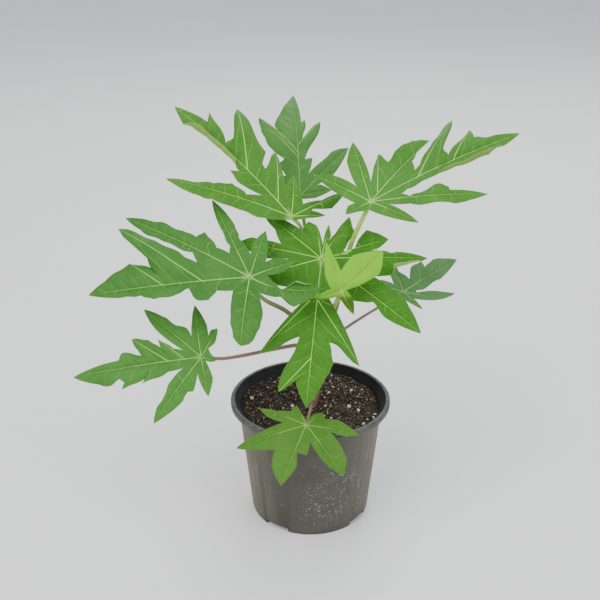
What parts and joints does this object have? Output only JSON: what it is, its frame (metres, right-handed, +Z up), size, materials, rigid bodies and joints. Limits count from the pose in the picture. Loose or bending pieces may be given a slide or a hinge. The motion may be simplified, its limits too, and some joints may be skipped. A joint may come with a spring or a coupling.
{
  "type": "potted papaya seedling",
  "caption": "Young papaya plant in a round nursery pot: palmate, deeply cut leaves on long stalks round one short leaning stem.",
  "frame": {"origin": "centre of the pot's flat underside", "axes": "+Z up, towards the crown; -Y is the plant's front, which most leaves face; +X is to the right of someone who faces that front"},
  "size_m": [0.3593, 0.2295, 0.3597],
  "materials": {
    "pot_plastic": "dusty satin with dried water spots",
    "peat_mix": "rough, moist, with white perlite grains",
    "stem_skin": "matte, brown-pink at the foot and green above",
    "stalk_skin": "smooth satin",
    "leaf_blue_green": "soft sheen with pale veins",
    "leaf_young_green": "soft sheen with pale veins"
  },
  "bodies": {
    "root": {"pot": "pot_plastic", "root_ball": "peat_mix", "stem": "stem_skin", "petiole_upper_left": "stalk_skin", "leaf_upper_left": "leaf_young_green", "petiole_upper_back": "stalk_skin", "leaf_upper_back": "leaf_blue_green", "petiole_upper_right": "stalk_skin", "leaf_upper_right": "leaf_blue_green", "petiole_mid_left": "stalk_skin", "leaf_mid_left": "leaf_blue_green", "petiole_low_left": "stalk_skin", "leaf_low_left": "leaf_blue_green", "petiole_front": "stalk_skin", "leaf_front": "leaf_young_green", "petiole_young": "stalk_skin", "leaf_young": "leaf_young_green", "petiole_mid_right": "stalk_skin", "leaf_mid_right": "leaf_blue_green", "petiole_lowest": "stalk_skin", "leaf_lowest": "leaf_young_green"}
  },
  "joints": []
}
